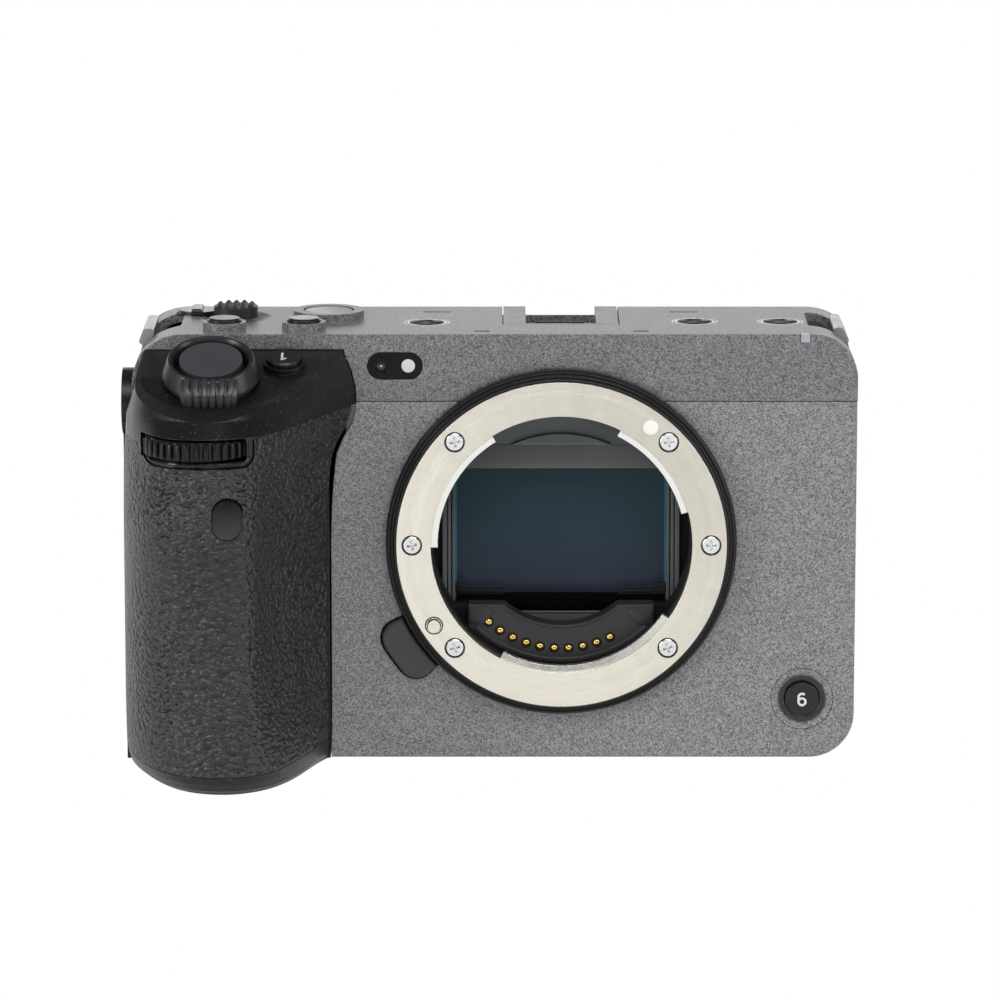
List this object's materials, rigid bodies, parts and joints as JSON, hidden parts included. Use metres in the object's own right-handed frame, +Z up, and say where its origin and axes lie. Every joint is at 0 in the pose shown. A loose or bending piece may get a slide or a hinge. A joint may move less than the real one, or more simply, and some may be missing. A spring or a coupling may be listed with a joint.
{
  "type": "cinema camera",
  "caption": "Compact cinema camera body with a bayonet lens mount, deep grip, swing-out monitor, sprung buttons, dials, hinged doors and threaded accessory sockets.",
  "frame": {"origin": "centre of the tripod socket mouth on the base, on the plane through the optical axis", "axes": "+Z up, -Y from the camera towards the subject along the optical axis, +X towards the side with the terminal doors, away from the grip"},
  "size_m": [0.1297, 0.0843, 0.079],
  "materials": {
    "body_paint": "dark grey paint with a fine metallic sparkle",
    "top_paint": "dark grey paint with a fine metallic sparkle",
    "side_paint": "dark grey paint",
    "rear_plastic": "fine textured black",
    "cast_metal": "cast",
    "black_plastic": "fine sand texture",
    "grip_leather": "leather grain",
    "mount_metal": "satin turned",
    "gloss_black": "gloss",
    "screw_metal": "bright",
    "contact_plastic": "satin",
    "contact_gold": "gold plated",
    "chamber_black": "matt black",
    "button_black": "satin",
    "pin_metal": "bright",
    "sensor_dark": "dark",
    "sensor_cover": "coated filter glass",
    "stage_metal": "black anodised",
    "blade_dark": "dark matt",
    "heat_metal": "plain",
    "fan_plastic": "satin",
    "board_green": "board with metal connectors",
    "battery_grey": "satin",
    "slot_metal": "pressed sheet",
    "rec_grey": "satin",
    "dial_black": "satin ribbed",
    "stick_rubber": "matt",
    "shoe_metal": "dark grey",
    "insert_steel": "threaded",
    "strap_metal": "satin",
    "door_rubber": "fine textured",
    "screen_glass": "gloss black",
    "hinge_metal": "black",
    "lever_black": "satin",
    "window_dark": "dark gloss",
    "lamp_clear": "frosted"
  },
  "bodies": {
    "body": {"chassis_frame": "cast_metal", "front_cover": "body_paint", "top_cover": "top_paint", "rear_cover": "rear_plastic", "bottom_plate": "body_paint", "terminal_panel": "side_paint", "grip_core": "black_plastic", "grip_skin": "grip_leather", "grip_top_cover": "black_plastic", "mount_ring": "mount_metal", "mount_trim_ring": "gloss_black", "mount_screws": "screw_metal", "contact_block": "contact_plastic", "contact_pins": "contact_gold", "light_baffle": "chamber_black", "main_board": "board_green", "heat_sink": "heat_metal", "battery": "battery_grey", "card_slot_unit": "slot_metal", "accessory_shoe": "shoe_metal", "thread_inserts": "insert_steel", "strap_bars": "strap_metal", "front_windows": "window_dark", "record_lamp": "lamp_clear"},
    "lens_release": {"release_button": "button_black", "lock_pin": "pin_metal"},
    "sensor_stage_x": {"sensor_stage": "stage_metal"},
    "sensor_stage_z": {"sensor_package": "sensor_dark", "sensor_glass": "sensor_cover"},
    "shutter_lower": {"shutter_blade_lower": "blade_dark"},
    "shutter_upper": {"shutter_blade_upper": "blade_dark"},
    "fan": {"fan_rotor": "fan_plastic"},
    "shutter_button": {"shutter_button": "button_black"},
    "zoom_lever": {"zoom_lever": "lever_black"},
    "front_dial": {"front_dial": "dial_black"},
    "rear_dial": {"rear_dial": "dial_black"},
    "iris_button": {"iris_button": "button_black"},
    "iso_button": {"iso_button": "button_black"},
    "wb_button": {"wb_button": "button_black"},
    "rec_button": {"rec_button": "rec_grey"},
    "front_rec_button": {"front_rec_button": "button_black"},
    "function_button": {"function_button": "button_black"},
    "af_on_button": {"af_on_button": "button_black"},
    "playback_button": {"playback_button": "button_black"},
    "delete_button": {"delete_button": "button_black"},
    "menu_button": {"menu_button": "button_black"},
    "centre_button": {"centre_button": "button_black"},
    "joystick_gimbal": {"joystick_gimbal": "pin_metal"},
    "joystick": {"joystick": "stick_rubber"},
    "power_switch": {"power_switch": "top_paint"},
    "control_wheel": {"control_wheel": "dial_black"},
    "monitor": {"monitor_case": "rear_plastic", "monitor_glass": "screen_glass", "monitor_hinge": "hinge_metal"},
    "battery_door": {"battery_door": "black_plastic"},
    "battery_latch": {"battery_latch": "button_black"},
    "card_door": {"card_door": "rear_plastic"},
    "jack_door": {"jack_door": "door_rubber"},
    "video_door": {"video_door": "door_rubber"},
    "data_door": {"data_door": "door_rubber"}
  },
  "joints": [
    {"name": "lens_release_press", "type": "slide", "parent": "body", "child": "lens_release", "axis": [0, 1, 0], "range_m": [0, 0.0018], "stiffness_N_per_m": 500, "springref_m": -0.001},
    {"name": "sensor_shift_x", "type": "slide", "parent": "body", "child": "sensor_stage_x", "axis": [1, 0, 0], "range_m": [-0.0015, 0.0015], "stiffness_N_per_m": 3000},
    {"name": "sensor_shift_z", "type": "slide", "parent": "sensor_stage_x", "child": "sensor_stage_z", "axis": [0, 0, 1], "range_m": [-0.0015, 0.0015], "stiffness_N_per_m": 3000},
    {"name": "shutter_lower_run", "type": "slide", "parent": "body", "child": "shutter_lower", "axis": [0, 0, -1], "range_m": [0, 0.0274], "stiffness_N_per_m": 15, "springref_m": -0.004},
    {"name": "shutter_upper_run", "type": "slide", "parent": "body", "child": "shutter_upper", "axis": [0, 0, -1], "range_m": [0, 0.01375]},
    {"name": "fan_spin", "type": "hinge", "parent": "body", "child": "fan", "pos_m": [0.0245, 0.01, 0.036], "axis": [0, 1, 0], "continuous": true},
    {"name": "shutter_press", "type": "slide", "parent": "body", "child": "shutter_button", "axis": [0, 0.3907, -0.9205], "range_m": [0, 0.0004], "stiffness_N_per_m": 400, "springref_m": -0.0006},
    {"name": "zoom_turn", "type": "hinge", "parent": "body", "child": "zoom_lever", "pos_m": [-0.061, -0.028, 0.0742], "axis": [0, -0.3907, 0.9205], "range_deg": [-20, 20], "stiffness_Nm_per_rad": 0.03},
    {"name": "front_dial_turn", "type": "hinge", "parent": "body", "child": "front_dial", "pos_m": [-0.0626, -0.038, 0.061], "axis": [0, 0, 1], "continuous": true},
    {"name": "rear_dial_turn", "type": "hinge", "parent": "body", "child": "rear_dial", "pos_m": [-0.0635, 0.0212, 0.0669], "axis": [0, 0, 1], "continuous": true},
    {"name": "iris_press", "type": "slide", "parent": "body", "child": "iris_button", "axis": [0, 0.2874, -0.9578], "range_m": [0, 0.0005], "stiffness_N_per_m": 400, "springref_m": -0.0006},
    {"name": "iso_press", "type": "slide", "parent": "body", "child": "iso_button", "axis": [0, 0, -1], "range_m": [0, 0.0005], "stiffness_N_per_m": 400, "springref_m": -0.0006},
    {"name": "wb_press", "type": "slide", "parent": "body", "child": "wb_button", "axis": [0, 0, -1], "range_m": [0, 0.0005], "stiffness_N_per_m": 400, "springref_m": -0.0006},
    {"name": "rec_press", "type": "slide", "parent": "body", "child": "rec_button", "axis": [0, 0, -1], "range_m": [0, 0.0005], "stiffness_N_per_m": 400, "springref_m": -0.0006},
    {"name": "front_rec_press", "type": "slide", "parent": "body", "child": "front_rec_button", "axis": [0, 1, 0], "range_m": [0, 0.0004], "stiffness_N_per_m": 400, "springref_m": -0.0006},
    {"name": "function_press", "type": "slide", "parent": "body", "child": "function_button", "axis": [0, -1, 0], "range_m": [0, 0.0004], "stiffness_N_per_m": 400, "springref_m": -0.0006},
    {"name": "af_on_press", "type": "slide", "parent": "body", "child": "af_on_button", "axis": [0, -1, 0], "range_m": [0, 0.0004], "stiffness_N_per_m": 400, "springref_m": -0.0006},
    {"name": "playback_press", "type": "slide", "parent": "body", "child": "playback_button", "axis": [0, -1, 0], "range_m": [0, 0.0004], "stiffness_N_per_m": 400, "springref_m": -0.0006},
    {"name": "delete_press", "type": "slide", "parent": "body", "child": "delete_button", "axis": [0, -1, 0], "range_m": [0, 0.0004], "stiffness_N_per_m": 400, "springref_m": -0.0006},
    {"name": "centre_press", "type": "slide", "parent": "body", "child": "centre_button", "axis": [0, -1, 0], "range_m": [0, 0.0004], "stiffness_N_per_m": 400, "springref_m": -0.0006},
    {"name": "menu_press", "type": "slide", "parent": "body", "child": "menu_button", "axis": [0, -0.4017, -0.9158], "range_m": [0, 0.0004], "stiffness_N_per_m": 400, "springref_m": -0.0006},
    {"name": "stick_tilt_front", "type": "hinge", "parent": "body", "child": "joystick_gimbal", "pos_m": [-0.058, 0.003, 0.0726], "axis": [1, 0, 0], "range_deg": [-8, 8], "stiffness_Nm_per_rad": 0.02},
    {"name": "stick_tilt_side", "type": "hinge", "parent": "joystick_gimbal", "child": "joystick", "pos_m": [-0.058, 0.003, 0.0726], "axis": [0, 1, 0], "range_deg": [-8, 8], "stiffness_Nm_per_rad": 0.02},
    {"name": "power_turn", "type": "hinge", "parent": "body", "child": "power_switch", "pos_m": [-0.065, 0.0086, 0.0764], "axis": [0, 0, -1], "range_deg": [0, 32]},
    {"name": "wheel_turn", "type": "hinge", "parent": "body", "child": "control_wheel", "pos_m": [-0.046, 0.03, 0.0355], "axis": [0, 1, 0], "continuous": true},
    {"name": "monitor_swing", "type": "hinge", "parent": "body", "child": "monitor", "pos_m": [0.0476, 0.0266, 0.033], "axis": [0, 0, -1], "range_deg": [0, 176]},
    {"name": "battery_door_swing", "type": "hinge", "parent": "body", "child": "battery_door", "pos_m": [-0.04695, -0.0067, 0.0012], "axis": [0, -1, 0], "range_deg": [0, 88]},
    {"name": "battery_latch_slide", "type": "slide", "parent": "battery_door", "child": "battery_latch", "axis": [1, 0, 0], "range_m": [0, 0.0022]},
    {"name": "card_door_swing", "type": "hinge", "parent": "body", "child": "card_door", "pos_m": [-0.07585, 0.00705, 0.035], "axis": [0, 0, 1], "range_deg": [0, 90]},
    {"name": "jack_door_swing", "type": "hinge", "parent": "body", "child": "jack_door", "pos_m": [0.05135, 0.00255, 0.05375], "axis": [0, 0, -1], "range_deg": [0, 90]},
    {"name": "video_door_swing", "type": "hinge", "parent": "body", "child": "video_door", "pos_m": [0.05135, 0.00255, 0.03765], "axis": [0, 0, -1], "range_deg": [0, 90]},
    {"name": "data_door_swing", "type": "hinge", "parent": "body", "child": "data_door", "pos_m": [0.05135, 0.00255, 0.0189], "axis": [0, 0, -1], "range_deg": [0, 90]}
  ],
  "couplings": [
    {"joint": "shutter_upper_run", "follows": "shutter_lower_run", "ratio": 0.5}
  ]
}
